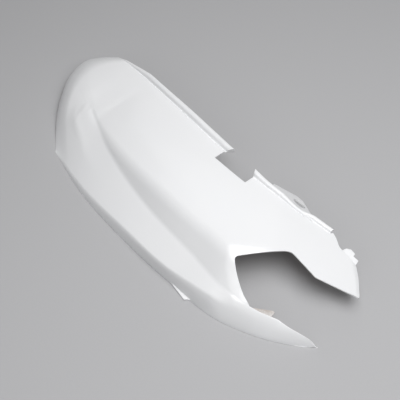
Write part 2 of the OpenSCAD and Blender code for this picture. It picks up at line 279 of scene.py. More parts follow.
# %% The whole painted face, without the lip
TAIL_SETBACK = [185, 134, 77, 35, 5, -2, 55, 245]
TAIL_FIRST_Y, TAIL_PITCH = -87, 44
TAIL_ROLL, TAIL_ROLL_Y, TAIL_ROLL_LENGTH = 1.9, (-20, 80), (38, 68)
TAIL_DROP = 15
PLANE_HEIGHT, PLANE_FALLS, PLANE_RISES, PLANE_SOFT = 66, 0.27, 0.18, 3
PLANE_START = NECK_X - 80
TIP_DIVE = 0.3
DIVE_KINKS = [(HALF - 26, TIP_DIVE, 12), (HALF - 12, -TIP_DIVE, 8)]
END_FOLD, END_FOLD_SLOPE, END_FOLD_SOFT = 9, 0.3, 2
LIP_END_X = HALF - 102
LIP_END_Y = float(at(SEAT_Y, LIP_END_X))
END_START, END_SLOPE, END_KINKS = (HALF - 41, LIP_END_Y - 4), -0.85, [(HALF - 23, -0.25, 5)]


def tail_x(y):
    """Where the tail ends at a place across the panel."""
    return along(TAIL_SETBACK, (y - TAIL_FIRST_Y) / TAIL_PITCH + 1) - HALF


def end_edge(x):
    """The line of the upper prong's end, carried on past its corner."""
    return kinked(x, END_START, END_SLOPE, END_KINKS)


def front_drop(x, y):
    """Dive of the lower prong's tip and fold along the upper prong's end."""
    dive = kinked(x, (0, 0), 0, DIVE_KINKS)
    fold = END_FOLD_SLOPE * ramp(y - end_edge(x) + END_FOLD, END_FOLD_SOFT)
    return np.where(x < LIP_END_X, 0, np.where(y < 0, dive, fold))


def form(x, y):
    """Height of the painted face, without the lip."""
    f = prong_roll(x, y, facets(x, y)) + tail_facet(x, y) - fork_band(x, y)
    plane = PLANE_HEIGHT - PLANE_FALLS * (x - NECK_X) + PLANE_RISES * (y - NECK_Y)
    f = f - np.where(x > PLANE_START, ramp(f - plane, PLANE_SOFT), 0)
    # The outline is cut off square where it would pass the tail's end, and drops there
    past_end = np.maximum(0, -HALF - tail_x(y)) * ease(x, TAIL_DROP - HALF, -HALF)
    rolling = np.interp(y, TAIL_ROLL_Y, TAIL_ROLL_LENGTH)
    t = np.clip((x - tail_x(y) - past_end) / rolling, 0, 1)
    return f * (1 - (1 - t) ** TAIL_ROLL) ** (1 / TAIL_ROLL) - front_drop(x, y)


print("crown height", round(number(form, 60, 25), 1), "mm")

# %% [markdown]
# ## The outline
# The mould ends the skin along the rim, round the fork opening and along the seat
# edge; these ends are called the cut edges below. The openings could be cut from a
# whole face with other solids, but then their edges would run across the mesh and
# shade badly. So seven guide lines go from the rim to the lip's outer edge and the
# mesh follows them, and every crease and every cut edge has its own row of points.
# The lip gives way a little beside the ear's hole, where a screw's head goes in.

# %% Guide lines
TIP_WIDTH = 3
FORK_SLOPE = 1.5
FORK_KINKS = [(NECK_X + 47, -1.54, 7), (HALF - 62, 0.54, 3)]
OUTER_START, OUTER_SLOPE = (LIP_END_X, LIP_END_Y + 6.6), -0.25
OUTER_KINKS = [
    (LIP_END_X + 11, -0.37, 6), (LIP_END_X + 25, 0.61, 3),
    (HALF - 41, -0.85, 4), (HALF - 23, -0.25, 5),
]
NOTCH_X = HALF - 318
NOTCH_END_X = NOTCH_X + 69
NOTCH_DEPTH, NOTCH_SLANT, NOTCH_SHARE = 21, 0.05, 0.4
CREASE_SHARE = 0.6
RIDGE_GAP, RIDGE_SOFT = 10, 9
LIP_WIDTH, LIP_TAPER, LIP_LEAST = 12.5, 2.6, 0.12
LIP_START, LIP_FADE = 60, 90
LIP_SWELL, LIP_SWELLS, LIP_SLIMS = 0.2, (-190, -40), (126, 75)
BAY_NARROW, BAY_SINK = 0.3, 2.5
BAY_REAR, BAY_FRONT = (145, 186), (211, 188)


def fork_upper(x):
    """The upper prong's edge in the fork opening."""
    return kinked(x, (NECK_X, NECK_Y), FORK_SLOPE, FORK_KINKS)


def prong_outer(x):
    """The upper prong's outer edge, from the lip's end round to its tip."""
    return kinked(x, OUTER_START, OUTER_SLOPE, OUTER_KINKS)


def ear_bay(x):
    """1 beside the ear's hole, where the lip gives way to the screw head, 0 elsewhere."""
    return ease(x, *BAY_REAR) * ease(x, *BAY_FRONT)


def lip_across(x):
    """The lip's width: it grows out of the tail and tapers towards the front."""
    grown = np.maximum(LIP_LEAST, np.clip((x + HALF - LIP_START) / LIP_FADE, 0, 1))
    width = LIP_WIDTH - LIP_TAPER * np.maximum(0, x) / LIP_END_X
    width = width * (1 + LIP_SWELL * ease(x, *LIP_SWELLS) * ease(x, *LIP_SLIMS))
    return width * grown * (1 - BAY_NARROW * ear_bay(x))


def guide(k, x):
    """Guide lines: rim, crease, valley, ridge, notch's floor, seat edge, lip's edge."""
    if k == 0:
        return rim(x)
    if k == 1:
        return np.minimum(crease(x), mix(rim(x), guide(2, x), CREASE_SHARE))
    if k == 2:
        inner = np.maximum(prong_inner(x), rim(x) + LOW_TIP_WIDTH)
        return np.where(x > NECK_LOW_X, inner, at(VALLEY_Y, x))
    if k == 3:
        ridge = at(VALLEY_Y, x) + RIDGE_GAP + ramp(at(FACE_RUN, x) - RIDGE_GAP, RIDGE_SOFT)
        return np.where(x > NECK_X, fork_upper(x), ridge)
    if k == 4:
        inset = NOTCH_DEPTH - NOTCH_SLANT * (x - NOTCH_X)
        return guide(5, x) - np.minimum(inset, NOTCH_SHARE * (guide(5, x) - guide(3, x)))
    if k == 5:
        outer = np.maximum(prong_outer(x), fork_upper(x) + TIP_WIDTH)
        return np.where(x > LIP_END_X, outer, at(SEAT_Y, x) - BAY_SINK * ear_bay(x))
    return guide(5, x) + lip_across(x)


print("lip in the middle", round(number(lip_across, 0), 1), "mm wide")

# %% Rows: guide, share of the way to the next guide, offset from the guide
ROWS = [
    (0, 0, 0), (1, 0, -3), (1, 0, 0), (1, 0, 3),
    (1, 0.25, 0), (1, 0.5, 0), (1, 0.75, 0),
    (2, 0, -3), (2, 0, 0), (2, 0, 3), (2, 0.3, 0), (2, 0.55, 0), (2, 0.78, 0),
    (3, 0, 0), (3, 0.08, 0), (3, 0.18, 0), (3, 0.35, 0), (3, 0.55, 0), (3, 0.77, 0),
    (4, 0, 0), (4, 0.5, 0),
    (5, 0, 0), (5, 0.1, 0), (5, 0.2, 0), (5, 0.36, 0), (5, 0.5, 0), (5, 0.85, 0), (6, 0, 0),
]
VALLEY_ROW, RIDGE_ROW, NOTCH_ROW, GROOVE_ROW = (ROWS.index((k, 0, 0)) for k in (2, 3, 4, 5))
WALL_ROOM, OTHER_ROOM = 0.5, 0.2


def row_y(row, x):
    """A row's place across the panel; an offset never uses up the room beside it."""
    k, share, off = row
    y = guide(k, x)
    if share:
        y = mix(y, guide(k + 1, x), share)
    if off > 0:
        y = y + np.minimum(off, OTHER_ROOM * (guide(k + 1, x) - guide(k, x)))
    if off < 0:
        room = (WALL_ROOM if k == 1 else OTHER_ROOM) * (guide(k, x) - guide(k - 1, x))
        y = y - np.minimum(-off, room)
    return y


print(len(ROWS), "rows; valley, ridge, notch and groove:", VALLEY_ROW, RIDGE_ROW, NOTCH_ROW, GROOVE_ROW)

# %% [markdown]
# ## The ear's place
# The seat edge carries an ear for a rubber grommet. It hangs off the lip's outer
# edge and slopes away under it. Its place is needed early, because its nose is the
# widest point of the panel, and the frame's origin is under the middle of the box.
# It could be read off the construction model, but working it out from the same
# lines keeps ear and lip together when a size changes.

# %% Where the ear and the lug stand
EAR_BACK, EAR_LENGTH, EAR_THICK = 218, 85, 3
EAR_NOSE, EAR_NOSE_AT = 13, (43, 26)
EAR_DROP, EAR_TWIST, EAR_LIFT = 41, 6.5, 1
LUG_BACK, LUG_LENGTH, LUG_REACH, LUG_SLANT = 184, 40, 6, 3


def face_point(k, x):
    """The point of the face on a guide line, at a place along the panel."""
    y = float(guide(k, np.array(float(x))))
    return Vector((x, y, number(form, x, y)))


ear_rear = face_point(6, HALF - EAR_BACK)
ear_run = face_point(6, HALF - EAR_BACK + EAR_LENGTH) - ear_rear
ear_turn = math.atan2(ear_run.y, ear_run.x)
ear_fall = math.atan2(-ear_run.z, math.hypot(ear_run.x, ear_run.y)) + math.radians(EAR_TWIST)
ear_place = (
    Matrix.Translation(ear_rear + Vector((0, 0, EAR_LIFT)))
    @ Matrix.Rotation(ear_turn, 4, "Z")
    @ Matrix.Rotation(ear_fall, 4, "Y")
    @ Matrix.Rotation(-math.radians(EAR_DROP), 4, "X")
    @ Matrix.Translation((0, 0, -EAR_THICK / 2))
)
nose = ear_place @ Vector((*EAR_NOSE_AT, EAR_THICK))
across = ear_place.to_3x3()[1]
widest = nose.y + EAR_NOSE * math.hypot(across[0], across[1])
LUG_X = HALF - LUG_BACK - LUG_SLANT
LUG_Y = number(rim, LUG_X) - LUG_REACH
CENTRE = np.array([(LOW_TIP_X - HALF) / 2, (LUG_Y + widest) / 2, 0])
print("ear falls", round(math.degrees(ear_fall), 2), "degrees; middle at", CENTRE.round(3))

# %% [markdown]
# ## The skin
# The face is sampled closely along rows that lie between the guide lines, and the
# inside is the same face moved in by the skin along its normal, as in the mould. A
# Solidify modifier would carry the lip and its groove through to the inside, so both
# faces are worked out here: the inside leaves the lip out, and the skin thins in the
# lower prong's tip, where two full skins have no room. Rows lie closer together over
# the lip, whose section is small: a groove, a step up, a round top, a rounded edge.

# %% How finely rows and columns are divided
# SPLITS counts the wide columns of each stretch: tail, notch, middle, neck and prongs
SUB_ROWS = [4, 2, 2, 4, 4, 4, 4, 3, 3, 4, 4, 4, 4, 4, 4, 4, 4, 4, 4, 3, 4, 2, 3, 5, 3, 4, 2]
SUB_COLS = 4
SPLITS = [24, 6, 9, 6, 9]
TAIL_CROWDING = 1.8

fine = [(j, s / n) for j, n in enumerate(SUB_ROWS) for s in range(n)]
fine.append((len(SUB_ROWS) - 1, 1.0))
row_of = [j for j, _ in fine]
steps = []
for stretch, columns in enumerate(SPLITS):
    parts = columns * SUB_COLS
    crowding = TAIL_CROWDING if stretch == 0 else 1
    steps += [(stretch, (i / parts) ** crowding) for i in range(parts)]
steps.append((len(SPLITS) - 1, 1.0))
COLS, NROWS = len(steps), len(fine)
print(COLS, "columns by", NROWS, "rows")

# %% Where a row starts and ends, and where it passes the openings
SIDE_STRAIGHT = 0.62
HALVINGS = 26
UP_TIP_X = HALF - 2
LOW_STRETCH_X = HALF - 45
NOTCH_REAR_LEANS, NOTCH_FRONT_LEANS = 10, 8
NECK_LOW_LEANS, NECK_UP_LEANS = 5, 4
SEARCH_REAR, SEARCH_FRONT = 8, 4


def left_side(y):
    """The fork opening's rear side, straight at the top and curved below."""
    q = np.clip((NECK_Y - y) / (NECK_Y - number(prong_inner, NECK_LOW_X)), 0, 1)
    return NECK_X + (NECK_LOW_X - NECK_X) * (SIDE_STRAIGHT * q + (1 - SIDE_STRAIGHT) * q**3)


def meet(line, y_of, a, b):
    """Where a row crosses a line of the outline, by halving."""
    for _ in range(HALVINGS):
        m = (a + b) / 2
        if m < line(y_of(m)):
            a = m
        else:
            b = m
    return (a + b) / 2


def row_stations(p, y_of):
    """Six stations along a row: tail, notch ends, neck, lip end and prong tip.

    The row's place p counts guides: the lower prong ends at 2, the upper starts at 3.
    """
    outer = max(0.0, p - 5)
    if p <= 2:
        neck = NECK_LOW_X + NECK_LOW_LEANS * (2 - p)
    elif p < 3:
        neck = meet(left_side, y_of, NECK_X - SEARCH_REAR, NECK_LOW_X + SEARCH_FRONT)
    else:
        neck = NECK_X + NECK_UP_LEANS * (p - 3)
    return [
        meet(tail_x, y_of, -HALF, -HALF / 2),
        NOTCH_X + NOTCH_REAR_LEANS * outer,
        NOTCH_END_X - NOTCH_FRONT_LEANS * outer,
        neck,
        LOW_STRETCH_X if p <= 2.5 else LIP_END_X,
        LOW_TIP_X if p <= 2.5 else UP_TIP_X,
    ]


print("opening's rear side runs from", NECK_X, "to", round(number(left_side, -60), 1))

# %% The plan: where each point lies, seen from above
BESIDE = 0.01


def sampled_plan():
    """The points' places, columns by rows."""
    places = np.zeros((COLS, NROWS, 2))
    for j, (r, t) in enumerate(fine):
        a, b = ROWS[r], ROWS[r + 1]

        def y_of(x, a=a, b=b, t=t):
            return mix(row_y(a, x), row_y(b, x), t)

        pa, pb = (q[0] + q[1] + np.sign(q[2]) * BESIDE for q in (a, b))
        stations = row_stations(mix(pa, pb, t), y_of)
        xs = np.array([mix(stations[s], stations[s + 1], f) for s, f in steps])
        places[:, j, 0], places[:, j, 1] = xs, y_of(xs)
    return places


plan = sampled_plan()
print("plan from", plan.min(axis=(0, 1)).round(1), "to", plan.max(axis=(0, 1)).round(1))

# %% [markdown]
# ## The fork opening's rear corner
# A sharp inner corner would crack when the panel is flexed, so the mould rounds it. A
# bevel would need new points and would upset the rows. Instead the rows stay, and
# points near the corner are pulled in towards the centre of the rounding until they
# lie on its arc; points further off follow less and less.

# %% Round the corner
CORNER_ROUND, CORNER_FADE = 6, 15
SIDE_STEP = 5.0


def rounded_corner(places):
    """The plan with the opening's sharp rear corner pulled into an arc."""
    down = np.array([number(left_side, NECK_Y - SIDE_STEP) - NECK_X, -SIDE_STEP])
    up = np.array([1.0, FORK_SLOPE])
    down, up = (v / np.linalg.norm(v) for v in (down, up))
    inward = (down + up) / np.linalg.norm(down + up)
    half_angle = math.acos(float(inward @ up))
    centre = np.array([NECK_X, NECK_Y]) + inward * CORNER_ROUND / math.sin(half_angle)
    from_centre = places - centre
    reach = np.linalg.norm(from_centre, axis=-1, keepdims=True)
    aside = np.arccos(np.clip(-(from_centre @ inward)[..., None] / reach, -1, 1))
    sharp = CORNER_ROUND / np.cos(np.maximum(0, math.pi / 2 - half_angle - aside))
    pull = (sharp - CORNER_ROUND) * np.clip(1 - (reach - sharp) / CORNER_FADE, 0, 1)
    return places - from_centre / reach * pull


before = plan
plan = rounded_corner(plan)
print("corner points move by up to", round(float(np.abs(plan - before).max()), 1), "mm")

# %% Height of the painted face with its lip, and of the bare inside
SKIN = 2.5
TIP_SHARE = 0.35
LIP_HEIGHT = 4.5
# The lip's slope changes at shares of its width; first comes the groove, then the rise
LIP_CORNERS = [0, 0.1, 0.2, 0.42, 0.6, 0.88]
LIP_SLOPES = [-3.2, 0, 4.2, 1.5, 0.4, -2]
LIP_SOFT, LIP_FIRST_SOFT = 0.04, 0.001
PROBE = 0.4


def lip_section(share):
    """Height of the lip's section, as a share of the lip's height."""
    height, before = 0, 0
    for corner, slope in zip(LIP_CORNERS, LIP_SLOPES):
        soft = LIP_SOFT if corner else LIP_FIRST_SOFT
        height = height + (slope - before) * ramp(share - corner, soft)
        before = slope
    return height


def normal(x, y):
    """The face's normal, from its height a little to each side."""
    fall_x = form(x - PROBE, y) - form(x + PROBE, y)
    fall_y = form(x, y - PROBE) - form(x, y + PROBE)
    n = np.stack([fall_x, fall_y, np.full_like(x, 2 * PROBE)], -1)
    return n / np.linalg.norm(n, axis=-1, keepdims=True)


X, Y = plan[..., 0], plan[..., 1]
lip_share = np.clip((Y - guide(5, X)) / lip_across(X), 0, 1)
lip_share[:, [r < GROOVE_ROW for r in row_of]] = 0
lift = lip_section(lip_share) * LIP_HEIGHT * lip_across(X) / LIP_WIDTH
outside = np.stack([X, Y, form(X, Y) + lift], -1)
room = np.where((X > NECK_LOW_X) & (Y < 0), TIP_SHARE * (guide(2, X) - rim(X)), SKIN)
depth = np.minimum(SKIN, room)[..., None]
inside = np.stack([X, Y, form(X, Y)], -1) - depth * normal(X, Y)
for side in (outside, inside):
    side[..., 2] = np.maximum(0, side[..., 2])
print("crown", round(float(outside[..., 2].max()), 1), "mm high, thinnest skin", depth.min().round(2))

# %% [markdown]
# ## The openings
# The mould leaves the fork opening, the seat notch and the piece beyond the lip's
# end free. Their edges already lie on rows and columns, so leaving out the cells
# between them is all that is needed, and no cut can go wrong.

# %% Cells that are kept, and their border
ENDS = np.cumsum(SPLITS)


def kept(i, j):
    if not (0 <= i < COLS - 1 and 0 <= j < NROWS - 1):
        return False
    c, r = i // SUB_COLS, row_of[j]
    in_fork = c >= ENDS[2] and VALLEY_ROW <= r < RIDGE_ROW
    in_notch = ENDS[0] <= c < ENDS[1] and r >= NOTCH_ROW
    past_lip = c >= ENDS[3] and r >= GROOVE_ROW
    return not (in_fork or in_notch or past_lip)


cells = [(i, j) for i in range(COLS - 1) for j in range(NROWS - 1) if kept(i, j)]
border = []
for i, j in cells:
    a = i * NROWS + j
    b, c, d = a + NROWS, a + NROWS + 1, a + 1
    for p, q, ni, nj in ((a, b, i, j - 1), (b, c, i + 1, j), (c, d, i, j + 1), (d, a, i - 1, j)):
        if not kept(ni, nj):
            border.append((p, q))
print(len(cells), "cells and", len(border), "lengths of cut edge")

# %% [markdown]
# ## Rounded edges
# No moulded edge is sharp: paint pulls back from a sharp edge, and the light picks
# out a thin bright line on the rounding, which is what tells the eye how thick the
# skin is. A Bevel modifier would stumble where rows lie close together, so the edge
# is rounded here, point by point. Each point of the border moves in by the radius,
# and a ring of points goes round from the face, over the edge, to the inside.

# %% Directions and room along the cut edge
EDGE_ROUND = 0.6
EDGE_SHARE = 0.45
ARC = [math.radians(v) for v in (30, 60, 90)]
TINY = 1e-9
FAR_OFF = 9.0


def unit(v):
    return v / max(TINY, np.linalg.norm(v))


def outward_at_border(top, under):
    """Direction out of the skin's cut edge at each point of the border."""
    out = {}
    for p, q in border:
        side = unit(np.cross(top[q] - top[p], top[p] - under[p]))
        for k in (p, q):
            out[k] = out.get(k, 0) + side
    return {k: unit(v) for k, v in out.items()}


def room_at_border(top):
    """Distance from each point of the border to its nearest inner neighbour."""
    on_border = {k for edge in border for k in edge}
    room = dict.fromkeys(on_border, FAR_OFF)
    for i, j in cells:
        a = i * NROWS + j
        ring = (a, a + NROWS, a + NROWS + 1, a + 1)
        for p, q in zip(ring, (*ring[1:], ring[0])):
            if (p in on_border) != (q in on_border):
                k = p if p in on_border else q
                room[k] = min(room[k], float(np.linalg.norm(top[p] - top[q])))
    return room


print("edges rounded by", EDGE_ROUND, "mm, or less where a skin or a row is narrow")


# %% Points and faces of the closed skin
def edge_ring(at_top, at_under, r, deep, out, up):
    """Points round a cut edge, from the face over to the inside."""
    ring = [at_top + r * math.sin(a) * out - deep * (1 - math.cos(a)) * up for a in ARC]
    ring += [at_under + r * math.sin(a) * out + deep * (1 - math.cos(a)) * up for a in ARC[::-1]]
    return ring


def skin_mesh():
    """Points and faces of the closed skin; material 0 is painted, 1 is bare."""
    count = COLS * NROWS
    top, under = outside.reshape(-1, 3).copy(), inside.reshape(-1, 3).copy()
    outward, spare = outward_at_border(top, under), room_at_border(top)
    rings, extra = {}, []
    for k, out in outward.items():
        thick = float(np.linalg.norm(top[k] - under[k]))
        up = unit(top[k] - under[k])
        r = min(EDGE_ROUND, EDGE_SHARE * spare[k])
        deep = min(r, EDGE_SHARE * thick)
        top[k], under[k] = top[k] - r * out, under[k] - r * out
        ring = edge_ring(top[k], under[k], r, deep, out, up)
        first = 2 * count + len(extra)
        extra += ring
        rings[k] = [k, *range(first, first + len(ring)), k + count]
    faces, slots = [], []
    for i, j in cells:
        a = i * NROWS + j
        b, c, d = a + NROWS, a + NROWS + 1, a + 1
        faces += [(a, b, c, d), (a + count, d + count, c + count, b + count)]
        slots += [0, 1]
    for p, q in border:
        for s in range(len(ARC) * 2 + 1):
            faces.append((rings[q][s], rings[p][s], rings[p][s + 1], rings[q][s + 1]))
            slots.append(0)
    points = np.concatenate([top, under, np.array(extra)])
    points[:, 2] = np.maximum(0, points[:, 2])
    return points, faces, slots


skin = skin_mesh()
print("skin:", len(skin[0]), "points and", len(skin[1]), "faces")

# %% [markdown]
# ## From points to an object
# Blender needs points, faces and a material number for each face. Points that fall
# on each other at the tips are merged, or the mesh would have faces without area.
# Both finishes are put in the slots now, because a union keeps only the materials
# that the pieces already have.

# %% Turn points and faces into an object
MERGE = 2e-6
paint = bpy.data.materials.new("white gloss paint")
bare = bpy.data.materials.new("bare grey-beige plastic")


def mesh_object(name, points, faces, slots):
    """A mesh with the two finishes; slots gives each face 0, paint, or 1, bare."""
    mesh = bpy.data.meshes.new(name)
    mesh.from_pydata(((np.asarray(points) - CENTRE) * MM).tolist(), [], faces)
    mesh.materials.append(paint)
    mesh.materials.append(bare)
    mesh.polygons.foreach_set("material_index", slots)
    bm = bmesh.new()
    bm.from_mesh(mesh)
    bmesh.ops.delete(bm, geom=[v for v in bm.verts if not v.link_faces], context="VERTS")
    bmesh.ops.remove_doubles(bm, verts=bm.verts, dist=MERGE)
    bm.to_mesh(mesh)
    bm.free()
    obj = bpy.data.objects.new(name, mesh)
    bpy.context.scene.collection.objects.link(obj)
    return obj


def open_edges(mesh):
    """How many edges don't have a face on both sides; 0 in a closed mesh."""
    bm = bmesh.new()
    bm.from_mesh(mesh)
    count = sum(1 for e in bm.edges if len(e.link_faces) != 2)
    bm.free()
    return count


panel = mesh_object("panel", *skin)
print("skin:", len(panel.data.polygons), "faces,", open_edges(panel.data), "open edges")

# %% [markdown]
# ## The small plates
# The ear, the hook, the lug and the shelf are flat plates of the same plastic. They
# could be pulled out of the skin's edge, but then its rows would have to end there.
# So each is drawn as an outline and given its thickness, its long edges are rounded,
# and it runs a little way into the skin, ready to be joined.

# %% A flat plate with rounded edges
HOLE_SIDES = 64
PLATE_ROUND = 0.5
LEVEL, FOLDED = 1e-6, 1


def circle(middle, radius):
    turns = [2 * math.pi * k / HOLE_SIDES for k in range(HOLE_SIDES)]
    return [(middle[0] + radius * math.cos(a), middle[1] + radius * math.sin(a)) for a in turns]


def is_long(edge):
    """Whether an edge runs round the plate's face, rather than up its side."""
    level = abs(edge.verts[0].co.z - edge.verts[1].co.z) < LEVEL
    return level and edge.calc_face_angle(0) > FOLDED


def plate(name, loops, thick, place, slot=0):
    """A plate from its outline and, after it, any hole's outline."""
    bm = bmesh.new()
    edges = []
    for loop in loops:
        verts = [bm.verts.new((x, y, 0)) for x, y in loop]
        edges += [bm.edges.new((v, w)) for v, w in zip(verts, (*verts[1:], verts[0]))]
    bmesh.ops.triangle_fill(bm, edges=edges, use_beauty=True)
    grown = bmesh.ops.extrude_face_region(bm, geom=list(bm.faces))["geom"]
    lifted = [g for g in grown if isinstance(g, bmesh.types.BMVert)]
    bmesh.ops.translate(bm, vec=(0, 0, thick), verts=lifted)
    bmesh.ops.recalc_face_normals(bm, faces=bm.faces)
    long_edges = [e for e in bm.edges if is_long(e)]
    bmesh.ops.bevel(
        bm, geom=long_edges, offset=PLATE_ROUND, segments=2, profile=0.5, affect="EDGES"
    )
    bm.transform(place)
    bm.verts.ensure_lookup_table()
    points = [tuple(v.co) for v in bm.verts]
    faces = [tuple(v.index for v in f.verts) for f in bm.faces]
    bm.free()
    obj = mesh_object(name, points, faces, [slot] * len(faces))
    print(name + ":", len(faces), "faces,", open_edges(obj.data), "open edges")
    return obj


# %% [markdown]
# ## The ear and the lug
# The ear takes a grommet: a plate with a round nose and a hole, whose root goes in
# under the lip. Its nose is an arc that its two straight edges meet without a kink,
# so the arc's ends are worked out rather than drawn. The lug is a thin wedge on the
# rim that drops into a slot of the trim below.

# %% Ear and lug
EAR_HOLE, EAR_HOLE_AT = 22, (50, 14)
EAR_STEP, EAR_ARC_PARTS = 8, 30
EAR_ROOT = [(0, 2.5), (0.3, 9), (0.7, 14), (1, 16)]


def tangent_angle(point, side):
    """Angle on the ear's round nose where a straight edge from a point meets it."""
    dx, dy = point[0] - EAR_NOSE_AT[0], point[1] - EAR_NOSE_AT[1]
    return math.atan2(dy, dx) + side * math.acos(EAR_NOSE / math.hypot(dx, dy))


def ear_outline():
    start = tangent_angle((EAR_LENGTH, 0), 1)
    end = tangent_angle((0, EAR_STEP), -1) % (2 * math.pi)
    arc = [start + (end - start) * k / EAR_ARC_PARTS for k in range(EAR_ARC_PARTS + 1)]
    x, y = EAR_NOSE_AT
    round_nose = [(x + EAR_NOSE * math.cos(a), y + EAR_NOSE * math.sin(a)) for a in arc]
    root = [(share * EAR_LENGTH, -inward) for share, inward in EAR_ROOT]
    return [*root, (EAR_LENGTH, 0), *round_nose, (0, EAR_STEP)]


def lug_outline():
    rear, front = HALF - LUG_BACK - LUG_LENGTH, LUG_X + 10
    return [
        (rear, number(rim, rear) + 2), (rear, number(rim, rear) + 0.5), (LUG_X, LUG_Y),
        (LUG_X + 5, number(rim, LUG_X + 5) - 1), (front, number(rim, front) + 1.5),
    ]


ear_loops = [ear_outline(), circle(EAR_HOLE_AT, EAR_HOLE / 2)]
ear = plate("ear", ear_loops, EAR_THICK, ear_place)
lug = plate("lug", [lug_outline()], SKIN, Matrix.Identity(4))

# %% [markdown]
# ## The shelf and the hook
# The shelf shows bare plastic inside the fork opening. The neighbouring trim lies on
# it, so it is level, and the root of its outline follows the prong's face, or a
# corner of it would poke through the paint. The hook is stepped so that it catches
# in its slot, and it is set at the slope of the prong's edge that carries it.

# %% Shelf and hook
TONGUE_HEIGHT, TONGUE_WIDTH, TONGUE_LENGTH = 20, 25, 35
TONGUE_REAR, TONGUE_IN, TONGUE_COVER = 7, 16, 0.8
ROOT_PARTS, ROOT_STEP = 8, 0.1
HOOK_START, HOOK_LENGTH, HOOK_REACH, HOOK_SINK = 30, 30, 13, 1.7


def tongue_root(x):
    """Where the prong's face comes down to just above the shelf."""
    y = number(prong_inner, x)
    while number(form, x, y) > TONGUE_HEIGHT + TONGUE_COVER:
        y -= ROOT_STEP
    return (x, y)


def tongue_outline():
    x0 = NECK_LOW_X - TONGUE_REAR
    x1 = x0 + TONGUE_LENGTH
    y1 = number(prong_inner, x1) - TONGUE_IN + TONGUE_WIDTH
    root = [tongue_root(mix(x0, x1, k / ROOT_PARTS)) for k in range(ROOT_PARTS + 1)]
    print("shelf runs in to", [round(v, 1) for v in (*root[0], *root[-1])])
    tip = [(x1, y1 - 1.5), (x1 - 1.5, y1 + 6.5), (x1 - 5, y1 + 7)]
    return [*root, *tip, (x0, number(prong_inner, x0) + 6.5)]


def hook_outline():
    length, reach = HOOK_LENGTH, HOOK_REACH
    return [
        (0, -4), (length - 1, -4), (length, 1), (length - 2, reach - 4),
        (length - 12, reach - 5), (length - 13, reach), (8, reach), (2, reach - 5), (0, 0),
    ]


hook_rear = face_point(5, LIP_END_X + HOOK_START)
hook_front = face_point(5, LIP_END_X + HOOK_START + HOOK_LENGTH)
hook_fall = math.atan2(hook_rear.z - hook_front.z, HOOK_LENGTH)
hook_place = Matrix.Translation(hook_rear - Vector((0, 0, SKIN + HOOK_SINK)))
hook_place = hook_place @ Matrix.Rotation(hook_fall, 4, "Y")
shelf_place = Matrix.Translation((0, 0, TONGUE_HEIGHT - SKIN))
tongue = plate("tongue", [tongue_outline()], SKIN, shelf_place, slot=1)
hook = plate("hook", [hook_outline()], SKIN, hook_place)

# %% [markdown]
# ## One moulding
# On the real panel skin and plates come out of one mould, so they become one closed
# mesh here. The manifold solver is used: it works on closed meshes only, which all
# five are.

# %% Join the plates to the skin
plates = [ear, lug, tongue, hook]
for small in plates:
    join = panel.modifiers.new(small.name, "BOOLEAN")
    join.operation, join.solver, join.object = "UNION", "MANIFOLD", small


def applied(obj):
    """The object's mesh with its modifiers worked in."""
    graph = bpy.context.evaluated_depsgraph_get()
    return bpy.data.meshes.new_from_object(obj.evaluated_get(graph), depsgraph=graph)


whole = applied(panel)
panel.modifiers.clear()
panel.data = whole
for small in plates:
    bpy.data.objects.remove(small)
print("moulding:", len(whole.polygons), "faces,", open_edges(whole), "open edges")

# %% [markdown]
# ## Riding on the frame, and the shading
# The panel is one body that doesn't move, so it rides on the root. Its faces are
# small and flat, and smooth shading makes them look like one curve. Edges where the
# surface turns by more than 38 degrees stay sharp. Thin faces beside wide ones would
# tilt the shading, so each face counts by its area, in a Weighted Normal modifier.

# %% Ride on the frame and round the shading
SHARP = math.radians(38)
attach(panel, "root")
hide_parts("side_panel")
for face in panel.data.polygons:
    face.use_smooth = True
panel.data.set_sharp_from_angle(angle=SHARP)
even = panel.modifiers.new("even shading", "WEIGHTED_NORMAL")
even.keep_sharp = True
even.weight = 60
shaded = applied(panel)
panel.modifiers.clear()
panel.data = shaded
print("shaded:", len(shaded.polygons), "faces")

# %% [markdown]
# ## How far the paint mist reaches
# The spray gun works on the outside only, but its mist drifts round every cut edge
# and settles on the bare plastic behind it, thick at the edge and gone after a few
# centimetres. Each point of the mesh stores its distance to the nearest cut edge,
# so the finish can fade with it. It is stored with the mesh, because a distance to
# a winding edge can't be worked out from a point's place alone.

# %% Distance to the nearest cut edge
rim_points = {k for edge in border for k in edge}
tree = KDTree(len(rim_points))
flat = inside.reshape(-1, 3)
for n, k in enumerate(rim_points):
    tree.insert(Vector((flat[k] - CENTRE) * MM), n)
tree.balance()
far = [tree.find(v.co)[2] for v in panel.data.vertices]
stored = panel.data.attributes.new("from_edge", "FLOAT", "POINT")
stored.data.foreach_set("value", far)
print("deepest point of the inside is", round(max(far) / MM), "mm from a cut edge")

# %% [markdown]
# ## Writing a finish as sums
# A finish is a small calculation at every point of the surface. Wiring it by hand
# takes one node for each sum, so a short class stands for one wire and lets the
# sums be written as they are on paper. Numbers alone are worked out in Python.


